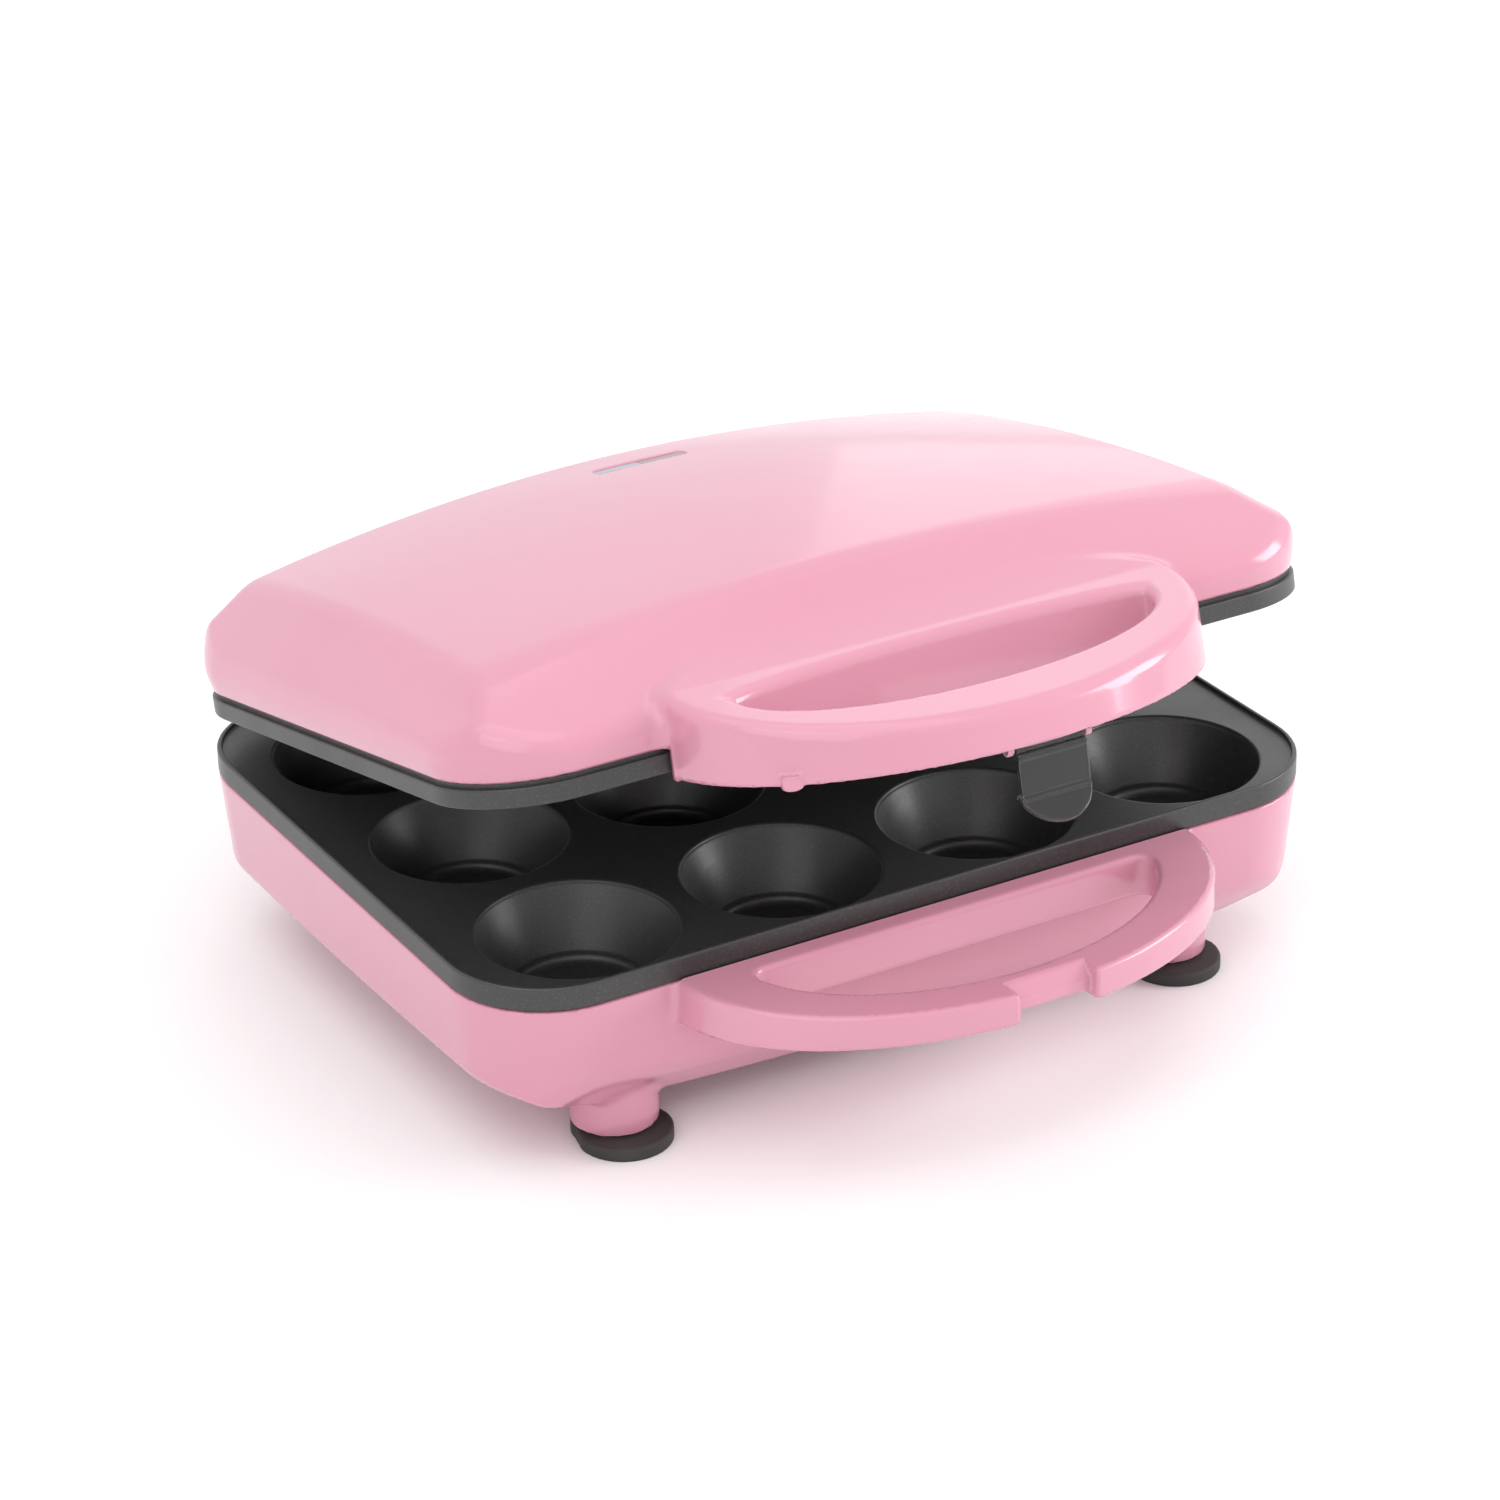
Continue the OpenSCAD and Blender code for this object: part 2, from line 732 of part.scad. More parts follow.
module power_lamp() {
    color("orange") lid_frame() lamp(-9);
}

module ready_lamp() {
    color("orange") lid_frame() lamp(9);
}

// ---------- latch ----------

module latch_tab() {
    half = latch_w / 2;
    color(smoke) lid_frame() translate(pivot) difference() {
        union() {
            rod_x(latch_barrel_r, -half, half);
            translate([-half, -latch_face, -3.5]) cube([latch_w, latch_face + 1, 2]);
            translate([-half, -latch_face, -latch_drop]) cube([latch_w, latch_t, latch_drop - 2]);
            translate([-half, -latch_face, -latch_drop]) cube([latch_w, latch_t + 1.7, 1.8]);
            translate([0, lip_step - latch_face, -latch_drop]) rotate([90 - lip_tilt, 0, 0])
                translate([0, 0, -latch_t]) linear_extrude(latch_t) intersection() {
                    translate([0, lip_r - lip_len]) circle(lip_r);
                    translate([-half, -lip_len - 1]) square([latch_w, lip_len + 2]);
                }
        }
        rod_x(latch_pin_r + 0.05, -half - 1, half + 1);
    }
}

module latch_pin() {
    color(steel) lid_frame() translate(pivot)
        rod_x(latch_pin_r, -latch_w / 2 - 3, latch_w / 2 + 3);
}

lower_housing();
lower_baking_plate();
lower_plate_screws();
lower_heating_element();
lower_element_clips();
lower_reflector();
thermostat();
base_thermal_fuse();
terminal_block();
base_wiring();
cord_gland();
foot_pad_front_left();
foot_pad_front_right();
foot_pad_rear_left();
foot_pad_rear_right();
foot_screws();
hinge_pin_left();
hinge_pin_right();
hinge_harness();
upper_housing();
upper_baking_plate();
upper_plate_screws();
upper_heating_element();
upper_element_clips();
upper_reflector();
lid_thermal_fuse();
lid_wiring();
power_lens();
ready_lens();
lamp_holder();
power_lamp();
ready_lamp();
latch_tab();
latch_pin();
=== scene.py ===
"""Looks for the twelve-cup cupcake maker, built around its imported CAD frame.

The housings, plates, latch and feet are modelled here at finished quality and stand for
the plain CAD nodes. Shapes are worked out in millimetres from the middle of the lower
plate's rim (x to the right, y to the back, z up), with the lid closed, and placed() turns
them into metres in the row frame, with the lid at its resting angle.
"""
import json
import math

import bmesh
import bpy
import numpy as np
from mathutils import Matrix, Vector
from mathutils.geometry import delaunay_2d_cdt


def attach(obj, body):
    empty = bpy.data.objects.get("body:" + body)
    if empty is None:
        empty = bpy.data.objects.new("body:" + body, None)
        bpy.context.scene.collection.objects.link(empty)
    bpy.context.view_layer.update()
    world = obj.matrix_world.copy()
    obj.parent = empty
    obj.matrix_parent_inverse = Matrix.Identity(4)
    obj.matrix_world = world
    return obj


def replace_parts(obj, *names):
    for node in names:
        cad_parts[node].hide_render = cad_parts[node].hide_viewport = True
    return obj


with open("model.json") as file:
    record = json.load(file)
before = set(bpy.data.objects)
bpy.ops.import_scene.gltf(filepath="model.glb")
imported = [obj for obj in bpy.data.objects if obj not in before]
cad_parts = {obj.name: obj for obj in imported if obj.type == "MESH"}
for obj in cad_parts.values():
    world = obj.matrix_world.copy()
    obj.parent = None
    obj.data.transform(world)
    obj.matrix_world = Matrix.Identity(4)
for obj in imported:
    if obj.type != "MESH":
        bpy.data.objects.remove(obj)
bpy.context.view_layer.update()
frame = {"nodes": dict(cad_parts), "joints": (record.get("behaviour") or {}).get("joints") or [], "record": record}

MM = 0.001

# ---------------------------------------------------------------- driving dimensions, mm
HINGE_Y, HINGE_Z = 159.5, 12.0
PLATE_W, PLATE_D, PLATE_R = 331.5, 246.3, 36.5
PITCH, GRID_Y = 78.0, -7.0
CUP_R, CUP_ROUND, CUP_FLOOR_R, CUP_DEPTH = 34.0, 1.3, 21.0, 27.0
DECK_T = 3.0
WALL = 4.0
SKIRT_BOTTOM = -8.3
BASE_TOP, BASE_DEPTH = -8.9, 62.0
BASE_SHRINK, DRAFT = 0.1, 0.09
BELLY_W, BELLY_D, BELLY_RISE = 125.0, 106.0, 5.0
SIDE_CREASE, SIDE_CREASE_Y, SIDE_CREASE_BOW = -46.0, 45.0, 0.0002
FRONT_CREASE, FRONT_CREASE_BOW = -43.7, 0.00015
FLOOR_Z = -74.5
LID_BOTTOM, LID_RIDGE = 8.5, 20.0
LID_FOOT_IN, LID_BULGE, LID_OUT = 0.8, 2.0, 1.2
PANEL_HALF, PANEL_FRONT, PANEL_BACK = 147.0, -90.0, 92.0
PANEL_EDGE, PANEL_PEAK_Y, PANEL_BOW = 47.6, 38.0, 0.00052
PANEL_RISE, PANEL_RISE_GAIN = 11.4, 0.03
FRONT_Y = -125.0
GRIP_HALF = 79.0
UPPER_HALF, UPPER_REACH, UPPER_BACK, UPPER_BOTTOM = 98.0, 69.5, 24.0, -1.75
UPPER_TOP, UPPER_SLOPE = 25.5, 0.2
LOWER_HALF, LOWER_REACH, LOWER_BACK_Y = 101.0, 68.0, -112.0
HANDLE_FRONT_Y = 192.0
HANDLE_TOP, HANDLE_FRONT_T, HANDLE_RAKE = -7.5, 11.1, 0.078
STEP_Y, HOOK_Y, HOOK_Z = 187.2, 183.0, -17.0
FOOT_X, FOOT_Y, FOOT_SHIFT = 111.5, 96.0, 7.0
LEG_R, PAD_R, PAD_END_R, PAD_T = 15.0, 15.0, 16.5, 5.0
LATCH_X, LATCH_W, LATCH_BARREL_R, LATCH_BORE_R = 3.0, 26.0, 2.4, 1.35
PIVOT_Y, PIVOT_Z = -188.5, -2.5
LIP_LEN, LIP_TILT = 9.0, math.radians(40.0)
LENS_Y, LENS_HALF, LENS_W = 65.0, 18.0, 7.0
LUG_LID, LUG_BASE = (72.0, 91.5), (92.0, 110.0)
BOSS_X, BOSS_Y, BOSS_R, BOSS_BOTTOM = -78.0, -166.0, 3.5, -2.9
POST_FRONT_Y, POST_BACK_Y, POST_R, POST_TOP = -60.0, 46.0, 6.5, -30.2
SCREW_WELL_R, SCREW_WELL_TOP = 4.6, -42.0
VENT_PITCH, VENT_FRONT_Y, VENT_BACK_Y, VENT_HALF = 12.0, -26.0, 34.0, (2.0, 14.0)
BACK_HOLES_Y = 100.0
GLAND_X, GLAND_Z, GLAND_HOLE_R = 62.0, -30.0, 6.1
HARNESS_X, HARNESS_Z, HARNESS_HOLE_R = -60.0, -22.0, 3.8
CUPS = [(i * PITCH, GRID_Y + j * PITCH) for j in (-1, 0, 1) for i in (-1.5, -0.5, 0.5, 1.5)]

hinge = next(j for j in frame["joints"] if j["name"] == "lid_hinge")
HINGE = Vector(hinge["pos_m"])
LID_OPEN = -math.radians(hinge["range_deg"][0])
PLATE = HINGE - Vector((0.0, HINGE_Y, HINGE_Z)) * MM


def placed(points, lid):
    """Millimetre points of the closed appliance, in metres in the row frame at rest."""
    p = np.asarray(points, float) * MM + np.array(PLATE)
    if lid:
        c, s = math.cos(LID_OPEN), math.sin(LID_OPEN)
        d = p - np.array(HINGE)
        y = c * d[:, 1] + s * d[:, 2]
        z = c * d[:, 2] - s * d[:, 1]
        p = np.stack([d[:, 0], y, z], axis=1) + np.array(HINGE)
    return p


# ---------------------------------------------------------------- distance functions
def rounded_and(a, b, r):
    """Where two solids overlap, with their shared edge rounded to r."""
    return np.minimum(-r, np.maximum(a, b)) + np.hypot(np.maximum(r + a, 0), np.maximum(r + b, 0))


def rounded_or(a, b, r):
    """Two solids joined, with a fillet of r."""
    return -rounded_and(-a, -b, r)


def cut(a, b, r):
    """Solid a with solid b taken out, the edge rounded to r."""
    return rounded_and(a, -b, r)


def rounded_rect(x, y, half_w, half_d, r):
    qx = np.abs(x) - half_w + r
    qy = np.abs(y) - half_d + r
    return np.hypot(np.maximum(qx, 0), np.maximum(qy, 0)) + np.minimum(np.maximum(qx, qy), 0) - r


def outline(x, y, shrink):
    """The plates' outline, moved inwards by shrink."""
    return rounded_rect(x, y, PLATE_W / 2 - shrink, PLATE_D / 2 - shrink, PLATE_R - shrink)


def ellipse(x, y, a, b):
    k0 = np.hypot(x / a, y / b)
    k1 = np.hypot(x / (a * a), y / (b * b))
    return k0 * (k0 - 1.0) / np.maximum(k1, 1e-6)


def rod(u, v, r):
    return np.hypot(u, v) - r


def bar_between(y, z, a, ra, b, rb):
    """A bar seen from its end: two circles at a and b and everything between them."""
    ay, az, by, bz = y - a[0], z - a[1], b[0] - a[0], b[1] - a[1]
    t = np.clip((ay * by + az * bz) / (by * by + bz * bz), 0, 1)
    return np.hypot(ay - by * t, az - bz * t) - (ra + (rb - ra) * t)


def panel_edge(y):
    """Height of the top panel along its two sides."""
    return PANEL_EDGE - PANEL_BOW * (y - PANEL_PEAK_Y) ** 2


def panel_z(x, y):
    """Height of the arched top panel."""
    return panel_edge(y) + (PANEL_RISE + PANEL_RISE_GAIN * y) * (1 - (x / PANEL_HALF) ** 2)


def slanted(z, run, rise, across):
    """Below a shoulder that climbs from the lid's ridge by rise over across, run mm in."""
    slope = rise / across
    return (z - LID_RIDGE - run * slope) / np.sqrt(1 + slope * slope)


def lid_body(x, y, z, inset):
    """The lid's main form: a bulging wall, four slanted shoulders and an arched panel."""
    bulge = np.sin(np.clip((z - LID_BOTTOM) / (LID_RIDGE - LID_BOTTOM), 0, 1) * math.pi / 2)
    wall = outline(x, y, LID_FOOT_IN - LID_BULGE * bulge + inset)
    half_w, half_d = PLATE_W / 2 + LID_OUT, PLATE_D / 2 + LID_OUT
    top = (z - panel_z(x, y)) / 1.01
    side = slanted(z, half_w - np.abs(x), panel_edge(y) - LID_RIDGE, half_w - PANEL_HALF)
    front = slanted(z, y + half_d, panel_z(x, PANEL_FRONT) - LID_RIDGE, half_d + PANEL_FRONT)
    back = slanted(z, half_d - y, panel_z(x, PANEL_BACK) - LID_RIDGE, half_d - PANEL_BACK)
    roof = rounded_and(rounded_and(top, side, 3.0), rounded_and(front, back, 1.0), 3.0)
    return rounded_and(roof + inset, wall, 5.0)


def upper_handle(x, y, z):
    """A loop in front of the lid, its top sloping down towards the front."""
    reach = UPPER_REACH - 3.0 * np.clip((z - UPPER_BOTTOM) / 16.0, 0, 1)
    v = y - FRONT_Y
    loop = np.where(v < 0, ellipse(x, v, UPPER_HALF, reach), ellipse(x, v, UPPER_HALF, UPPER_BACK))
    top = (z - UPPER_TOP - UPPER_SLOPE * v) / 1.02
    solid = rounded_and(rounded_and(loop, top, 4.0), UPPER_BOTTOM - z, 1.2)
    h = v + 12.0
    gap = np.where(h < 0, ellipse(x, h, GRIP_HALF, 32.0), ellipse(x, h, GRIP_HALF, 7.5))
    return cut(solid, gap, 3.5)


def lid_shell(x, y, z):
    """The whole upper housing."""
    solid = rounded_or(lid_body(x, y, z, 0.0), upper_handle(x, y, z), 6.0)
    for side in (-1, 1):
        mid = side * (LUG_LID[0] + LUG_LID[1]) / 2
        lug = bar_between(y, z, (HINGE_Y, HINGE_Z), 11.0, (116.0, 25.0), 10.5)
        lug = rounded_and(lug, np.abs(x - mid) - (LUG_LID[1] - LUG_LID[0]) / 2, 1.5)
        solid = rounded_or(solid, lug, 4.0)
    boss = rounded_and(rod(x - BOSS_X, y - BOSS_Y, BOSS_R), BOSS_BOTTOM - z, 1.0)
    solid = rounded_or(solid, np.maximum(boss, z - 2.0), 0.5)
    below = np.maximum(z - LID_BOTTOM, outline(x, y, -1.2))
    solid = cut(solid, below, 1.2)
    solid = np.maximum(solid, -lid_body(x, y, z, WALL))
    slot = rounded_rect(x, y - LENS_Y, LENS_HALF, LENS_W / 2, 1.5)
    solid = cut(solid, np.maximum(slot, 45.0 - z), 0.6)
    pin = np.maximum(rod(y - HINGE_Y, z - HINGE_Z, 3.3), 80.0 - np.abs(x))
    leads = np.maximum(rod(y - HINGE_Y, z - HINGE_Z, 4.2), np.abs(x + 74.0) - 4.0)
    groove = np.maximum(rod(y - PIVOT_Y, z - PIVOT_Z, 3.4), np.abs(x - LATCH_X) - LATCH_W / 2 - 0.5)
    return cut(np.maximum(np.maximum(solid, -pin), -leads), groove, 0.8)


def base_body(x, y, z, inset):
    """The tub: a drafted wall, shoulders that slope in under it, and a shallow belly."""
    wall = outline(x, y, BASE_SHRINK + DRAFT * np.maximum(BASE_TOP - z, 0) + inset)
    side_crease = SIDE_CREASE + SIDE_CREASE_BOW * (y - SIDE_CREASE_Y) ** 2
    front_crease = FRONT_CREASE + FRONT_CREASE_BOW * x ** 2
    belly = -BASE_DEPTH + BELLY_RISE * np.minimum(np.abs(x) / BELLY_W, 1.0) ** 2
    half_w, half_d = PLATE_W / 2 - 3.4, PLATE_D / 2 - 3.2
    lean_x = (side_crease + BASE_DEPTH - BELLY_RISE) / (half_w - BELLY_W)
    lean_y = (front_crease - belly) / (half_d - BELLY_D)
    side = (side_crease - (half_w - np.abs(x)) * lean_x - z) / np.hypot(1, lean_x)
    ends = (front_crease - (half_d - np.abs(y)) * lean_y - z) / np.hypot(1, lean_y)
    under = rounded_and(rounded_and(side, ends, 2.0), belly - z, 3.0)
    return rounded_and(wall, under + inset, 4.0)


def lower_handle(x, y, z):
    """A loop in front of the tub, thicker towards the tub, stepped for the latch."""
    v = y - FRONT_Y
    loop = np.where(v < 0, ellipse(x, v, LOWER_HALF, LOWER_REACH), np.abs(x) - LOWER_HALF)
    loop = np.maximum(loop, y - LOWER_BACK_Y)
    under = HANDLE_TOP - HANDLE_FRONT_T - HANDLE_RAKE * (y + HANDLE_FRONT_Y) - z
    solid = rounded_and(rounded_and(loop, z - HANDLE_TOP, 1.8), under, 1.5)
    gap = rounded_and(ellipse(x, v + 2.0, GRIP_HALF, 50.0), y + 132.0, 6.0)
    solid = cut(solid, gap, 2.0)
    seat = np.abs(x - LATCH_X) - LATCH_W / 2 - 2.0
    step = np.maximum(seat, y + STEP_Y)
    hook_room = np.maximum(seat, np.maximum(y + HOOK_Y, z - HOOK_Z))
    slope = np.maximum(seat, (y + HOOK_Y - (z - HANDLE_TOP)) * 0.7071)
    return cut(solid, np.minimum(np.minimum(step, hook_room), slope), 1.0)


def base_shell(x, y, z):
    """The whole lower housing."""
    solid = rounded_and(base_body(x, y, z, 0.0), z - BASE_TOP, 1.0)
    solid = rounded_or(solid, lower_handle(x, y, z), 3.0)
    for side in (-1, 1):
        mid = side * (LUG_BASE[0] + LUG_BASE[1]) / 2
        lug = bar_between(y, z, (HINGE_Y, HINGE_Z), 11.5, (112.0, -26.0), 16.0)
        lug = rounded_and(lug, np.abs(x - mid) - (LUG_BASE[1] - LUG_BASE[0]) / 2, 1.5)
        solid = rounded_or(solid, lug, 4.0)
    plate_room = np.maximum(outline(x, y, -0.4), BASE_TOP - z)
    solid = cut(solid, plate_room, 0.4)
    pad_top = FLOOR_Z + PAD_T
    leg = rod(np.abs(x) - FOOT_X, np.abs(y) - FOOT_Y, LEG_R + 0.02 * (z - pad_top))
    leg = rounded_and(np.maximum(leg, z + 48.0), pad_top - z, 0.8)
    solid = rounded_or(solid, leg, 3.0)
    solid = np.maximum(solid, -base_body(x, y, z, WALL))
    post_x = np.abs(x) - PITCH
    post_y = np.minimum(np.abs(y - POST_FRONT_Y), np.abs(y - POST_BACK_Y))
    post = np.maximum(rod(post_x, post_y, POST_R), z - POST_TOP)
    post = np.maximum(post, 3.0 - BASE_DEPTH - z)
    solid = np.minimum(solid, post)
    well = rod(post_x, post_y, SCREW_WELL_R)
    solid = cut(solid, np.maximum(well, z - SCREW_WELL_TOP), 0.6)
    vent_x = x - VENT_PITCH * np.clip(np.round(x / VENT_PITCH), -4, 4)
    vent_y = np.minimum(np.abs(y - VENT_FRONT_Y), np.abs(y - VENT_BACK_Y))
    vent = rounded_rect(vent_x, vent_y, *VENT_HALF, 1.9)
    solid = cut(solid, np.maximum(vent, z + 50.0), 0.5)
    gland = np.maximum(rod(x - GLAND_X, z - GLAND_Z, GLAND_HOLE_R), BACK_HOLES_Y - y)
    leads = np.maximum(rod(x - HARNESS_X, z - HARNESS_Z, HARNESS_HOLE_R), BACK_HOLES_Y - y)
    pin = np.maximum(rod(y - HINGE_Y, z - HINGE_Z, 3.1), LUG_BASE[0] - 1 - np.abs(x))
    return np.maximum(np.maximum(solid, -np.minimum(gland, leads)), -pin)


# ---------------------------------------------------------------- meshes from distances
def surface(distance, low, high, cell):
    """Surface nets: one vertex for each cell the surface crosses, at the mean of that cell's edge crossings."""
    axes = [np.arange(lo - cell, hi + 2 * cell, cell, dtype=np.float32)
            for lo, hi in zip(low, high)]
    grid = np.meshgrid(*axes, indexing="ij", sparse=True)
    d = np.broadcast_to(distance(*grid), [len(a) for a in axes]).astype(np.float32)
    inside = d < 0
    corners = [(i, j, k) for i in (0, 1) for j in (0, 1) for k in (0, 1)]
    size = [len(a) - 1 for a in axes]

    def at(field, c):
        return field[c[0]:c[0] + size[0], c[1]:c[1] + size[1], c[2]:c[2] + size[2]]

    count = sum(at(inside, c).astype(np.uint8) for c in corners)
    cells = np.argwhere((count > 0) & (count < 8))
    index = np.full(size, -1, np.int64)
    index[tuple(cells.T)] = np.arange(len(cells))
    total = np.zeros((len(cells), 3))
    hits = np.zeros(len(cells))
    for c in corners:
        for axis in range(3):
            if c[axis]:
                continue
            e = list(c)
            e[axis] = 1
            da = d[tuple((cells + c).T)]
            db = d[tuple((cells + e).T)]
            cross = (da < 0) != (db < 0)
            t = np.where(cross, da / np.where(cross, da - db, 1), 0)
            point = np.tile(np.array(c, float), (len(cells), 1))
            point[:, axis] = t
            total += point * cross[:, None]
            hits += cross
    origin = np.array([a[0] for a in axes])
    points = origin + (cells + total / hits[:, None]) * cell

    quads = []
    for axis in range(3):
        u, v = [(1, 2), (2, 0), (0, 1)][axis]
        span = [slice(1, n) for n in size]
        span[axis] = slice(0, size[axis])
        step = [0, 0, 0]
        step[axis] = 1
        a = inside[tuple(span)]
        b = inside[tuple(slice(s.start + o, s.stop + o) for s, o in zip(span, step))]
        for flip, edge in ((False, a & ~b), (True, ~a & b)):
            at_cell = np.argwhere(edge) + [s.start for s in span]
            du, dv = np.zeros(3, int), np.zeros(3, int)
            du[u], dv[v] = 1, 1
            ring = [at_cell - du - dv, at_cell - dv, at_cell, at_cell - du]
            quad = np.stack([index[tuple(r.T)] for r in ring], axis=1)
            quads.append(quad[:, ::-1] if flip else quad)
    return points, np.concatenate(quads)


def slopes(distance, p):
    """The distance at each point, and its gradient."""
    h = 0.05
    value = distance(p[:, 0], p[:, 1], p[:, 2])
    grad = np.empty_like(p)
    for axis in range(3):
        q, r = p.copy(), p.copy()
        q[:, axis] += h
        r[:, axis] -= h
        ahead, behind = (distance(t[:, 0], t[:, 1], t[:, 2]) for t in (q, r))
        grad[:, axis] = (ahead - behind) / (2 * h)
    return value, grad


def settled(distance, p, reach):
    """Points moved onto the surface by Newton steps, none further than reach."""
    start = p.copy()
    for _ in range(4):
        value, grad = slopes(distance, p)
        p = p - grad * (value / np.maximum((grad * grad).sum(1), 0.25))[:, None]
        moved = p - start
        far = np.linalg.norm(moved, axis=1, keepdims=True)
        p = start + moved * np.minimum(1, reach / np.maximum(far, 1e-9))
    return p


def mesh_object(name, points, faces, lid, material, normals=None):
    """A piece from millimetre points, shaded smooth."""
    mesh = bpy.data.meshes.new(name)
    mesh.from_pydata(placed(points, lid).tolist(), [], [tuple(f) for f in faces])
    mesh.validate()
    mesh.polygons.foreach_set("use_smooth", [True] * len(mesh.polygons))
    if normals is not None:
        turned = placed(np.asarray(points) + normals, lid) - placed(points, lid)
        mesh.normals_split_custom_set_from_vertices((turned / MM).tolist())
    mesh.materials.append(material)
    piece = bpy.data.objects.new(name, mesh)
    bpy.context.scene.collection.objects.link(piece)
    return piece


def carved(name, distance, low, high, cell, lid, material):
    """A piece whose surface is where distance() is zero."""
    points, faces = surface(distance, low, high, cell)
    points = settled(distance, points, cell)
    _, grad = slopes(distance, points)
    grad /= np.maximum(np.linalg.norm(grad, axis=1, keepdims=True), 1e-9)
    return mesh_object(name, points, faces, lid, material, grad)


# ---------------------------------------------------------------- materials
def shader(name, color, roughness, **sockets):
    """A Principled material. sockets are plain numbers set on the shader itself."""
    material = bpy.data.materials.new(name)
    material.use_nodes = True
    bsdf = material.node_tree.nodes["Principled BSDF"]
    bsdf.inputs["Base Color"].default_value = (*color, 1.0)
    bsdf.inputs["Roughness"].default_value = roughness
    for socket, value in sockets.items():
        bsdf.inputs[socket.replace("_", " ")].default_value = value
    return material


def node(material, kind, **inputs):
    made = material.node_tree.nodes.new(kind)
    for key, value in inputs.items():
        made.inputs[key.replace("_", " ")].default_value = value
    return made


def link(material, source, target):
    material.node_tree.links.new(source, target)


def noise_from(material, scale, detail=4.0, roughness=0.55):
    """Noise fixed to the piece, so that it moves with it."""
    coords = node(material, "ShaderNodeTexCoord")
    noise = node(material, "ShaderNodeTexNoise", Scale=scale, Detail=detail, Roughness=roughness)
    link(material, coords.outputs["Object"], noise.inputs["Vector"])
    return noise.outputs["Fac"]


def spread(material, value, low, high, start=0.3, end=0.7):
    """value from start..end, carried to low..high."""
    mapped = node(material, "ShaderNodeMapRange",
                  From_Min=start, From_Max=end, To_Min=low, To_Max=high)
    link(material, value, mapped.inputs["Value"])
    return mapped.outputs["Result"]


def varied_color(material, value, dark, light):
    mix = node(material, "ShaderNodeMix")
    mix.data_type = "RGBA"
    for socket in mix.inputs:
        if socket.name == "A" and socket.type == "RGBA":
            socket.default_value = (*dark, 1.0)
        if socket.name == "B" and socket.type == "RGBA":
            socket.default_value = (*light, 1.0)
    link(material, value, mix.inputs["Factor"])
    out = next(s for s in mix.outputs if s.type == "RGBA")
    link(material, out, material.node_tree.nodes["Principled BSDF"].inputs["Base Color"])


def bumped(material, heights, distance):
    """heights are (value, strength) pairs, laid one on the other."""
    normal = None
    for value, strength in heights:
        bump = node(material, "ShaderNodeBump", Strength=strength, Distance=distance)
        link(material, value, bump.inputs["Height"])
        if normal is not None:
            link(material, normal, bump.inputs["Normal"])
        normal = bump.outputs["Normal"]
    link(material, normal, material.node_tree.nodes["Principled BSDF"].inputs["Normal"])


def glossy_pink():
    """Injection-moulded plastic: faint sink-and-flow mottling and a very fine orange peel."""
    m = shader("glossy_pink", (0.62, 0.272, 0.36), 0.16, Specular_IOR_Level=0.5,
               Coat_Weight=0.35, Coat_Roughness=0.06, Coat_IOR=1.5,
               Subsurface_Weight=0.06, Subsurface_Scale=0.004)
    bsdf = m.node_tree.nodes["Principled BSDF"]
    bsdf.inputs["Subsurface Radius"].default_value = (1.0, 0.35, 0.4)
    flow = noise_from(m, 9.0, 3.0)
    peel = noise_from(m, 420.0, 2.0)
    varied_color(m, spread(m, flow, 0.0, 1.0), (0.61, 0.262, 0.348), (0.63, 0.282, 0.372))
    link(m, spread(m, noise_from(m, 60.0, 5.0), 0.15, 0.23),
         m.node_tree.nodes["Principled BSDF"].inputs["Roughness"])
    bumped(m, [(peel, 0.012)], 0.0006)
    return m


def nonstick():
    """Sprayed coating on cast aluminium: fine pebble, tiny flecks, slightly uneven sheen."""
    m = shader("nonstick_coating", (0.033, 0.033, 0.033), 0.38, Specular_IOR_Level=0.65)
    fleck = noise_from(m, 1400.0, 2.0)
    sheen = noise_from(m, 22.0, 4.0)
    varied_color(m, spread(m, fleck, 0.0, 1.0, 0.55, 0.80),
                 (0.028, 0.028, 0.028), (0.070, 0.069, 0.068))
    link(m, spread(m, sheen, 0.33, 0.45), m.node_tree.nodes["Principled BSDF"].inputs["Roughness"])
    bumped(m, [(noise_from(m, 700.0, 3.0), 0.10), (noise_from(m, 60.0, 2.0), 0.02)], 0.0004)
    return m


def black_rubber():
    m = shader("black_rubber", (0.030, 0.028, 0.028), 0.62, Specular_IOR_Level=0.35)
    dust = noise_from(m, 45.0, 6.0, 0.7)
    varied_color(m, spread(m, dust, 0.0, 1.0), (0.024, 0.022, 0.022), (0.048, 0.045, 0.044))
    link(m, spread(m, dust, 0.52, 0.72), m.node_tree.nodes["Principled BSDF"].inputs["Roughness"])
    bumped(m, [(noise_from(m, 900.0, 3.0), 0.25)], 0.0003)
    return m


def smoky_plastic():
    m = shader("smoky_plastic", (0.09, 0.094, 0.09), 0.14, IOR=1.49, Transmission_Weight=0.8,
               Specular_IOR_Level=0.6)
    link(m, spread(m, noise_from(m, 120.0, 4.0), 0.10, 0.20),
         m.node_tree.nodes["Principled BSDF"].inputs["Roughness"])
    bumped(m, [(noise_from(m, 300.0, 2.0), 0.02)], 0.0004)
    return m


def zinc_steel():
    m = shader("zinc_steel", (0.58, 0.58, 0.59), 0.32, Metallic=1.0)
    grain = noise_from(m, 260.0, 6.0)
    varied_color(m, spread(m, grain, 0.0, 1.0), (0.47, 0.47, 0.48), (0.64, 0.64, 0.65))
    link(m, spread(m, grain, 0.25, 0.45), m.node_tree.nodes["Principled BSDF"].inputs["Roughness"])
    bumped(m, [(grain, 0.08)], 0.0003)
    return m


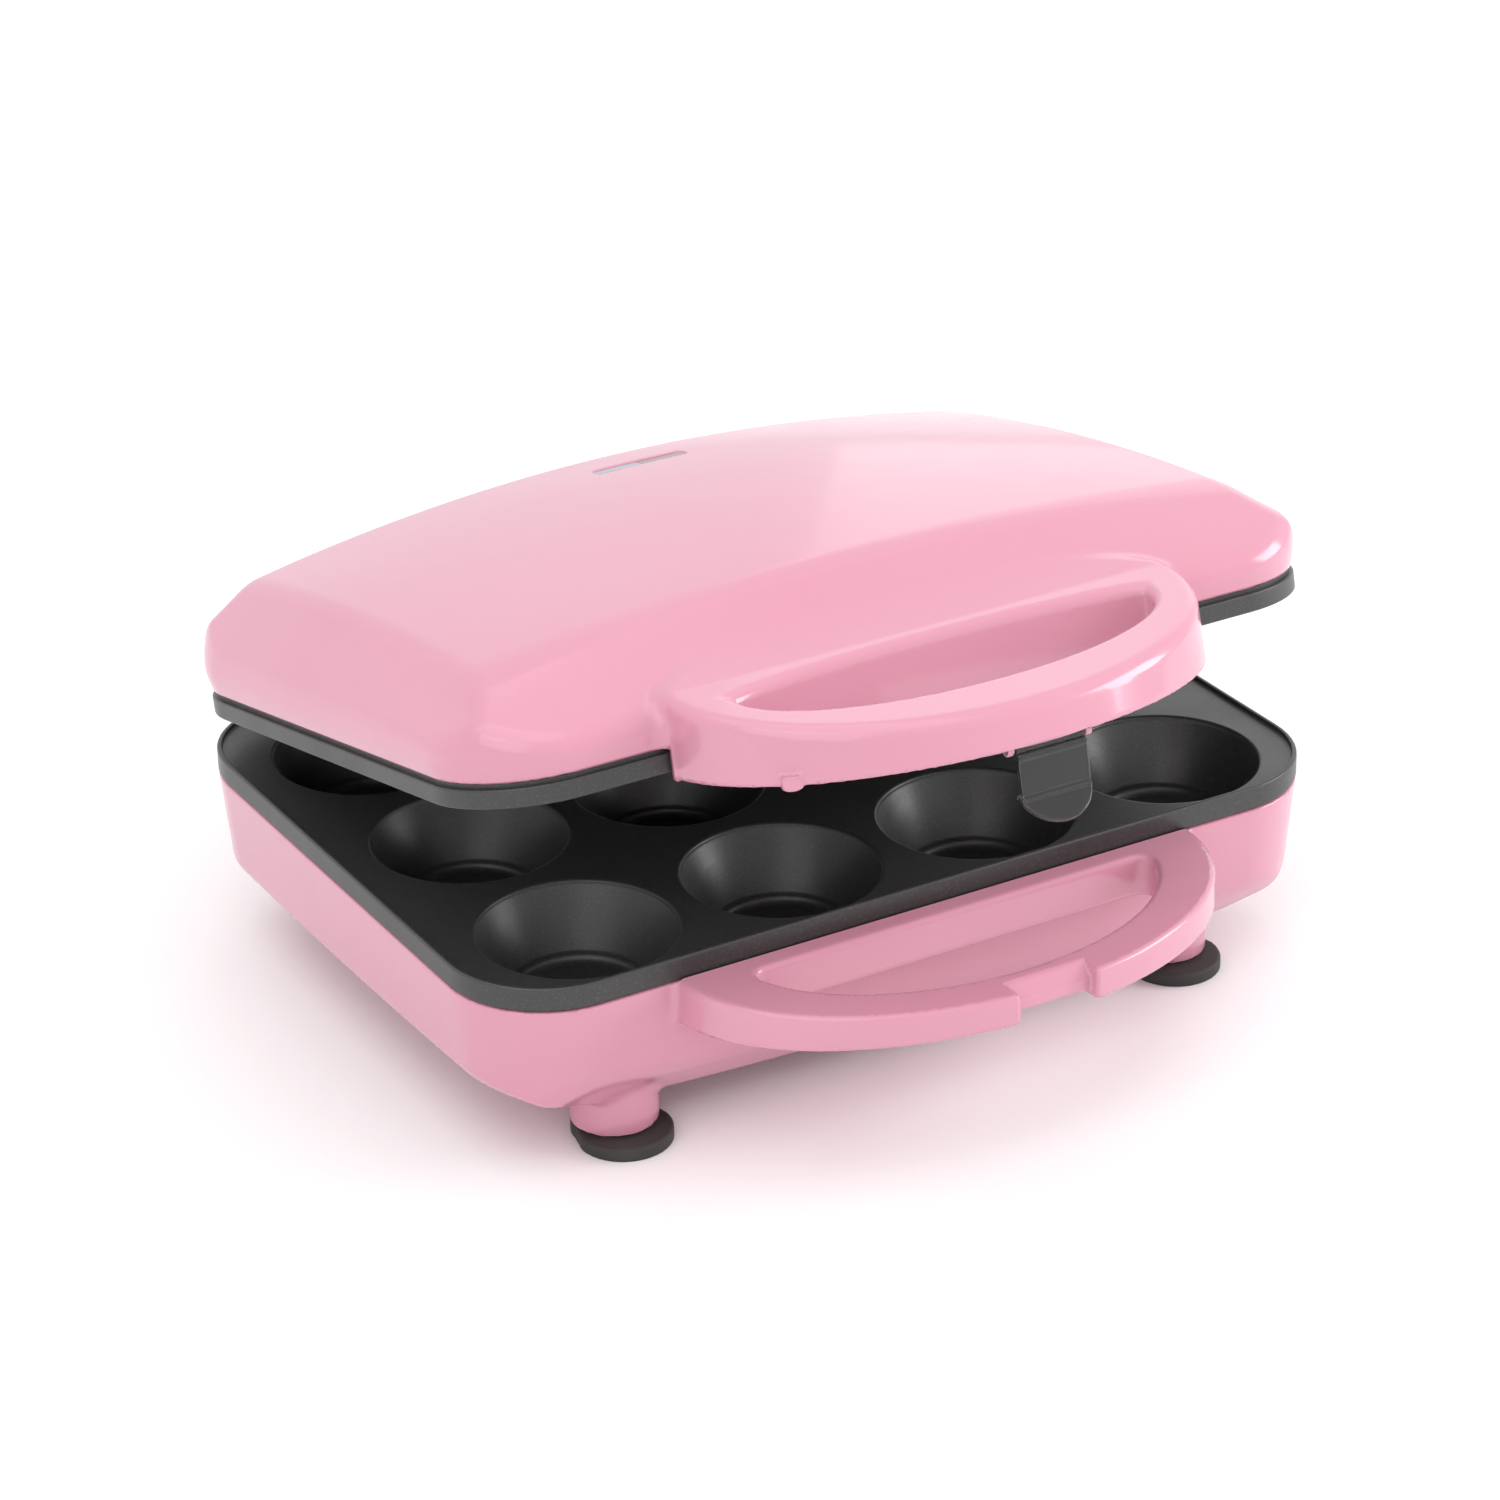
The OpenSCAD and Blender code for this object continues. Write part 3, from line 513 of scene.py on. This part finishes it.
def heated_sheath():
    m = shader("heated_sheath", (0.25, 0.22, 0.20), 0.48, Metallic=1.0)
    scale = noise_from(m, 70.0, 6.0, 0.7)
    varied_color(m, spread(m, scale, 0.0, 1.0), (0.12, 0.105, 0.10), (0.33, 0.29, 0.25))
    bumped(m, [(noise_from(m, 800.0, 3.0), 0.2)], 0.0003)
    return m


def moulded_ceramic():
    m = shader("moulded_ceramic", (0.72, 0.68, 0.58), 0.6)
    spots = noise_from(m, 200.0, 5.0)
    varied_color(m, spread(m, spots, 0.0, 1.0), (0.64, 0.60, 0.50), (0.76, 0.72, 0.63))
    bumped(m, [(spots, 0.15)], 0.0003)
    return m


def braided_sleeve():
    """Glass-fibre braid: two crossing waves."""
    m = shader("braided_sleeve", (0.06, 0.057, 0.055), 0.75)
    coords = node(m, "ShaderNodeTexCoord")
    waves = []
    for angle in (0.9, -0.9):
        turn = node(m, "ShaderNodeMapping")
        turn.inputs["Rotation"].default_value = (angle, angle, angle)
        wave = node(m, "ShaderNodeTexWave", Scale=260.0, Distortion=0.3)
        link(m, coords.outputs["Object"], turn.inputs["Vector"])
        link(m, turn.outputs["Vector"], wave.inputs["Vector"])
        waves.append(wave.outputs["Fac"])
    varied_color(m, waves[0], (0.035, 0.033, 0.032), (0.11, 0.105, 0.10))
    bumped(m, [(w, 0.4) for w in waves], 0.0004)
    return m


def tinted_window(name, color, painted_glow):
    """A tinted indicator window with a painted glow: noise makes it a little lighter in patches, standing in for
    light from the lamp behind it.
    """
    m = shader(name, color, 0.10, Specular_IOR_Level=0.7, Coat_Weight=0.5, Coat_Roughness=0.05)
    # painted glow: the lighter second colour stands in for the lamp's light showing through
    varied_color(m, spread(m, noise_from(m, 90.0, 3.0), 0.0, 1.0), color, painted_glow)
    bumped(m, [(noise_from(m, 250.0, 2.0), 0.03)], 0.0003)
    return m


def neon_lamp():
    m = shader("neon_lamp", (0.75, 0.42, 0.28), 0.08, Transmission_Weight=0.7, IOR=1.45)
    varied_color(m, noise_from(m, 150.0), (0.60, 0.32, 0.20), (0.85, 0.55, 0.40))
    return m


# ---------------------------------------------------------------- baking plates
SEG = 96            # points round each cup
CORNER_SEG = 14     # steps round each corner of the outline


def outline_loop(shrink, z):
    """The plates' outline as points, moved inwards by shrink, at height z."""
    cx, cy, r = PLATE_W / 2 - PLATE_R, PLATE_D / 2 - PLATE_R, PLATE_R - shrink
    turns = [(cx, cy, 0), (-cx, cy, 90), (-cx, -cy, 180), (cx, -cy, 270)]
    points = []
    for x, y, start in turns:
        for i in range(CORNER_SEG + 1):
            a = math.radians(start + 90 * i / CORNER_SEG)
            points.append((x + r * math.cos(a), y + r * math.sin(a), z))
    return points


def circle_loop(cx, cy, r, z):
    turns = [2 * math.pi * i / SEG for i in range(SEG)]
    return [(cx + r * math.cos(a), cy + r * math.sin(a), z) for a in turns]


def arc(r0, z0, r1, z1, bulge, steps=6):
    """Points of a fillet from (r0, z0) to (r1, z1), turning about the corner named by bulge."""
    cr, cz = bulge
    out = []
    for i in range(steps + 1):
        a = math.pi / 2 * i / steps
        c, s = math.cos(a), math.sin(a)
        out.append((cr + (r0 - cr) * c + (r1 - cr) * s, cz + (z0 - cz) * c + (z1 - cz) * s))
    return out


class PlateMesh:
    """Collects loops and the faces between them."""

    def __init__(self):
        self.points, self.faces, self.flat = [], [], set()

    def loop(self, points):
        first = len(self.points)
        self.points += points
        return list(range(first, first + len(points)))

    def band(self, a, b):
        n = len(a)
        self.faces += [(a[i], a[(i + 1) % n], b[(i + 1) % n], b[i]) for i in range(n)]

    def bands(self, loops):
        for a, b in zip(loops, loops[1:]):
            self.band(a, b)

    def cap(self, loop, center, flip):
        self.points.append(center)
        tip, n = len(self.points) - 1, len(loop)
        for i in range(n):
            tri = (loop[i], loop[(i + 1) % n], tip)
            self.faces.append(tri[::-1] if flip else tri)

    def deck(self, border, holes, up):
        """The flat between a border loop and the loops of the cups.

        A triangle with all its corners on one cup's loop lies inside that cup.
        """
        loops = [border, *holes]
        ids = [i for loop in loops for i in loop]
        owner = [k for k, loop in enumerate(loops) for _ in loop]
        flat = [Vector(self.points[i][:2]) for i in ids]
        edges, start = [], 0
        for loop in loops:
            n = len(loop)
            edges += [(start + i, start + (i + 1) % n) for i in range(n)]
            start += n
        found, _, tris, origin, _, _ = delaunay_2d_cdt(flat, edges, [], 0, 1e-5)
        for tri in tris:
            a, b, c = (found[i] for i in tri)
            corners = [origin[i][0] for i in tri]
            cups = {owner[i] for i in corners}
            if len(cups) == 1 and cups != {0}:
                continue
            face = tuple(ids[i] for i in corners)
            counterclockwise = (b - a).cross(c - a) > 0
            self.flat.add(len(self.faces))
            self.faces.append(face if counterclockwise == up else face[::-1])


def plate_edge(z_deck, z_lip, toward):
    """Rim profile from the deck over the lip: toward is 1 where the lip stands up, else -1."""
    t = toward
    return [(2.3, z_deck), *arc(2.2, z_deck, 1.8, z_deck + 0.4 * t, (2.2, z_deck + 0.4 * t), 3),
            *arc(1.8, z_lip - 0.5 * t, 1.3, z_lip, (1.3, z_lip - 0.5 * t), 4),
            *arc(0.9, z_lip, 0.0, z_lip - 0.9 * t, (0.9, z_lip - 0.9 * t), 5)]


def lower_plate_mesh():
    """Twelve deep wells in a deck with a raised rim."""
    deck, back, floor = -1.5, -1.5 - DECK_T, -CUP_DEPTH
    m = PlateMesh()
    rim = plate_edge(deck, 0.0, 1) + [(0.0, -1.4), (0.0, SKIRT_BOTTOM + 0.8)]
    rim += arc(0.0, SKIRT_BOTTOM + 0.5, 0.5, SKIRT_BOTTOM, (0.5, SKIRT_BOTTOM + 0.5), 3)
    rim += [(2.5, SKIRT_BOTTOM), (3.0, SKIRT_BOTTOM + 0.4), (3.0, back)]
    loops = [m.loop(outline_loop(s, z)) for s, z in rim]
    m.bands(loops)
    rim_r = CUP_R + CUP_ROUND
    profile = [(rim_r + 0.15, deck)]
    profile += arc(rim_r, deck, CUP_R, deck - CUP_ROUND, (rim_r, deck - CUP_ROUND), 6)
    low_r, low_z = CUP_FLOOR_R + 2.9, floor + 3.6
    run, drop = CUP_R - low_r, deck - CUP_ROUND - low_z
    profile += [(CUP_R - run * t, deck - CUP_ROUND - drop * t)
                for t in (0.03, 0.25, 0.5, 0.75, 0.97)]
    profile += arc(low_r, low_z, CUP_FLOOR_R - 0.6, floor, (CUP_FLOOR_R - 0.6, low_z), 7)
    profile += [(CUP_FLOOR_R - 1.2, floor)]
    outer = [(CUP_R + 1.0, back), (CUP_R + 0.9, back), (CUP_R + 0.8, back - 0.4)]
    outer += [(CUP_FLOOR_R + 3.7, floor + 1.6), (CUP_FLOOR_R + 1.2, floor - 2.2)]
    fronts, backs = [], []
    for cx, cy in CUPS:
        inner = [m.loop(circle_loop(cx, cy, r, z)) for r, z in profile]
        m.bands(inner)
        m.cap(inner[-1], (cx, cy, floor), False)
        fronts.append(inner[0])
        rest = [m.loop(circle_loop(cx, cy, r, z)) for r, z in outer]
        m.bands(rest[::-1])
        m.cap(rest[-1], (cx, cy, floor - 2.2), True)
        backs.append(rest[0])
    m.deck(loops[0], fronts, True)
    m.deck(loops[-1], backs, False)
    return m


def upper_plate_mesh():
    """Twelve shallow domes, seen from below, and a stepped edge under the lid."""
    deck, back, dome = 1.9, 1.9 + DECK_T, 12.0
    m = PlateMesh()
    rim = plate_edge(deck, 0.4, -1) + [(0.0, 1.8), (0.0, 6.0)]
    neck = LID_BOTTOM - 0.05
    rim += arc(0.0, 6.4, 0.6, 7.0, (0.6, 6.4), 4)
    rim += [(1.9, 7.0), (2.0, 7.1), (2.0, neck), (3.0, neck), (3.0, back)]
    loops = [m.loop(outline_loop(s, z)) for s, z in rim]
    m.bands(loops[::-1])
    rim_r = CUP_R + CUP_ROUND
    profile = [(rim_r + 0.15, deck)]
    profile += arc(rim_r, deck, CUP_R, deck + CUP_ROUND, (rim_r, deck + CUP_ROUND), 5)
    foot = deck + CUP_ROUND
    turns = [math.pi / 2 * i / 10 for i in range(1, 10)]
    rise = deck + dome - foot
    profile += [(CUP_R * math.cos(a) ** 0.9, foot + rise * math.sin(a)) for a in turns]
    outer = [(CUP_R + 1.0, back), (CUP_R + 0.8, back)]
    outer += [(28.0, deck + 9.8), (15.0, deck + dome + 1.6)]
    fronts, backs = [], []
    for cx, cy in CUPS:
        inner = [m.loop(circle_loop(cx, cy, r, z)) for r, z in profile]
        m.bands(inner[::-1])
        m.cap(inner[-1], (cx, cy, deck + dome), True)
        fronts.append(inner[0])
        rest = [m.loop(circle_loop(cx, cy, r, z)) for r, z in outer]
        m.bands(rest)
        m.cap(rest[-1], (cx, cy, deck + dome + 2.2), False)
        backs.append(rest[0])
    m.deck(loops[0], fronts, False)
    m.deck(loops[-1], backs, True)
    return m


def plate_piece(name, made, lid, material):
    piece = mesh_object(name, made.points, made.faces, lid, material)
    bm = bmesh.new()
    bm.from_mesh(piece.data)
    bmesh.ops.recalc_face_normals(bm, faces=bm.faces)
    bm.to_mesh(piece.data)
    bm.free()
    smooth = [i not in made.flat for i in range(len(piece.data.polygons))]
    piece.data.polygons.foreach_set("use_smooth", smooth)
    piece.data.set_sharp_from_angle(angle=math.radians(40))
    return piece


# ---------------------------------------------------------------- smaller pieces
def latch_distance(x, y, z):
    """The latch: a barrel, a flat tab with a hook behind its foot, and a rounded lip."""
    u, v, w = x - LATCH_X, y - PIVOT_Y, z - PIVOT_Z
    half = LATCH_W / 2
    across = np.abs(u) - half
    tab = rounded_and(np.abs(v + 1.9) - 1.1, np.abs(w + 9.9) - 7.9, 0.5)
    neck = np.maximum(np.abs(v + 1.0) - 2.0, np.abs(w + 2.6) - 0.9)
    hook = rounded_and(np.abs(v + 0.65) - 2.3, np.abs(w + 16.9) - 0.9, 0.5)
    barrel = rod(v, w, LATCH_BARREL_R)
    body = rounded_or(rounded_or(tab, neck, 1.0), rounded_or(hook, barrel, 0.1), 0.6)
    body = rounded_and(body, across, 0.5)
    along = -(v + 3.0) * math.sin(LIP_TILT) - (w + 17.8) * math.cos(LIP_TILT)
    off = (v + 3.0) * math.cos(LIP_TILT) - (w + 17.8) * math.sin(LIP_TILT)
    lip_r = (half ** 2 + LIP_LEN ** 2) / (2 * LIP_LEN)
    disc = np.maximum(rod(u, along + lip_r - LIP_LEN, lip_r), np.maximum(across, -along - 2.2))
    lip = rounded_and(disc, np.abs(off - 1.05) - 1.05, 0.5)
    return np.maximum(rounded_or(body, lip, 0.6), -rod(v, w, LATCH_BORE_R))


def latch_piece(material):
    low = (LATCH_X - 14, PIVOT_Y - 10, PIVOT_Z - 28)
    high = (LATCH_X + 14, PIVOT_Y + 4, PIVOT_Z + 4)
    return carved("latch_tab_moulding", latch_distance, low, high, 0.5, True, material)


def foot_distance(sx, sy):
    """A pad drawn out from its pedestal towards the nearer end, hollowed for the screw."""
    def distance(x, y, z):
        u, v = x - sx * FOOT_X, y - sy * FOOT_Y
        pad = bar_between(u, v, (0.0, 0.0), PAD_R, (0.0, sy * FOOT_SHIFT), PAD_END_R)
        pad = rounded_and(pad, FLOOR_Z - z, 0.6)
        pad = rounded_and(pad, z + 69.6, 1.2)
        return cut(pad, np.maximum(rod(u, v, 5.0), z + 71.5), 0.4)
    return distance


def foot_piece(name, sx, sy, material):
    low = (sx * FOOT_X - 20, sy * FOOT_Y - 26, -75.0)
    high = (sx * FOOT_X + 20, sy * FOOT_Y + 26, -69.0)
    return carved(name, foot_distance(sx, sy), low, high, 1.0, False, material)


def ears_distance(x, y, z):
    """The two ears under the upper handle that hold the latch's pin."""
    v, w = y - PIVOT_Y, z - PIVOT_Z
    side = np.abs(np.abs(x - LATCH_X) - LATCH_W / 2 - 1.7) - 1.25
    ear = np.minimum(rod(v, w, 2.2), np.maximum(np.abs(v) - 2.2, np.abs(w - 1.0) - 1.0))
    return np.maximum(rounded_and(ear, side, 0.4), -rod(v, w, 1.3))


def ears_piece(material):
    low = (LATCH_X - 18, PIVOT_Y - 4, PIVOT_Z - 4)
    high = (LATCH_X + 18, PIVOT_Y + 4, PIVOT_Z + 3)
    return carved("latch_ears", ears_distance, low, high, 0.5, True, material)


# ---------------------------------------------------------------- floor, light, camera
def studio():
    bpy.ops.mesh.primitive_plane_add(size=12.0, location=(0, 0, 0))
    floor = bpy.context.object
    floor.name = "studio_floor"
    m = shader("studio_floor", (0.90, 0.90, 0.90), 0.65, Specular_IOR_Level=0.2)
    varied_color(m, spread(m, noise_from(m, 1.5, 2.0), 0.0, 1.0),
                 (0.89, 0.89, 0.89), (0.91, 0.91, 0.91))
    floor.data.materials.append(m)
    world = bpy.data.worlds.new("studio")
    world.use_nodes = True
    world.node_tree.nodes["Background"].inputs["Color"].default_value = (1.0, 1.0, 1.0, 1.0)
    world.node_tree.nodes["Background"].inputs["Strength"].default_value = 1.0
    bpy.context.scene.world = world
    bpy.context.scene.view_settings.view_transform = "Standard"
    lamps = [("key", (-1.5, -1.2, 1.6), 2.0, 12.0), ("fill", (2.2, -1.0, 1.0), 1.2, 28.0),
             ("top", (-0.4, 0.0, 2.4), 2.4, 14.0), ("back", (1.6, 1.5, 0.8), 1.4, 2.5)]
    for name, place, size, power in lamps:
        light = bpy.data.lights.new(name, "AREA")
        light.shape = "SQUARE"
        light.size = size
        light.energy = power
        lamp = bpy.data.objects.new(name, light)
        lamp.location = place
        lamp.rotation_euler = (-Vector(place)).to_track_quat("-Z", "Y").to_euler()
        bpy.context.scene.collection.objects.link(lamp)


def camera():
    """The photograph's view: from the front left, a little above."""
    azimuth, elevation, roll = (math.radians(a) for a in (-29.713, 26.307, -1.22))
    distance, target = 1649.8, Vector((-3.71, -3.95, 0.0))
    back = Vector((math.sin(azimuth) * math.cos(elevation),
                   -math.cos(azimuth) * math.cos(elevation), math.sin(elevation)))
    right = Vector((math.cos(azimuth), math.sin(azimuth), 0.0))
    up = back.cross(right)
    side = right * math.cos(roll) + up * math.sin(roll)
    above = up * math.cos(roll) - right * math.sin(roll)
    view = Matrix((side, above, back)).transposed().to_4x4()
    view.translation = PLATE + (target + back * distance) * MM
    data = bpy.data.cameras.new("camera")
    data.sensor_width = 36.0
    data.lens = 111.72
    data.clip_end = 50.0
    cam = bpy.data.objects.new("camera", data)
    cam.matrix_world = view
    bpy.context.scene.collection.objects.link(cam)
    bpy.context.scene.camera = cam


# ---------------------------------------------------------------- putting it together
camera()
studio()

PINK, BLACK, RUBBER, STEEL = glossy_pink(), nonstick(), black_rubber(), zinc_steel()
CELL = 1.5

lid = carved("upper_housing_moulding", lid_shell, (-168, -196, -5), (168, 172, 63),
             CELL, True, PINK)
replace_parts(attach(lid, "lid"), "upper_housing")

base = carved("lower_housing_moulding", base_shell, (-166, -194, -71), (166, 172, 24),
              CELL, False, PINK)
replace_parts(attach(base, "base"), "lower_housing")

ears = ears_piece(PINK)
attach(ears, "lid")

plates = (("lower_baking_plate", lower_plate_mesh(), False, "base"),
          ("upper_baking_plate", upper_plate_mesh(), True, "lid"))
for name, made, on_lid, body in plates:
    plate = plate_piece(name + "_casting", made, on_lid, BLACK)
    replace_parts(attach(plate, body), name)

latch = latch_piece(smoky_plastic())
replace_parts(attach(latch, "latch"), "latch_tab")

for name, sx, sy in (("front_left", -1, -1), ("front_right", 1, -1),
                     ("rear_left", -1, 1), ("rear_right", 1, 1)):
    foot = foot_piece("foot_moulding_" + name, sx, sy, RUBBER)
    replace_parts(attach(foot, "base"), "foot_pad_" + name)

by_slot = {
    "steel": STEEL,
    "element_sheath": heated_sheath(),
    "rubber": RUBBER,
    "ceramic": moulded_ceramic(),
    "wire_sleeve": braided_sleeve(),
    # the second colour of each window is its painted glow
    "power_window": tinted_window("power_window", (0.12, 0.16, 0.22), (0.20, 0.25, 0.33)),
    "ready_window": tinted_window("ready_window", (0.10, 0.012, 0.014), (0.16, 0.03, 0.03)),
    "lamp_glass": neon_lamp(),
    "pink_plastic": PINK,
    "nonstick_plate": BLACK,
    "smoke_plastic": latch.data.materials[0],
}
slot_of = {s["node"]: s["material_slot"] for s in frame["record"]["subparts"]}
for name, part in frame["nodes"].items():
    part.data.materials.clear()
    part.data.materials.append(by_slot[slot_of[name]])
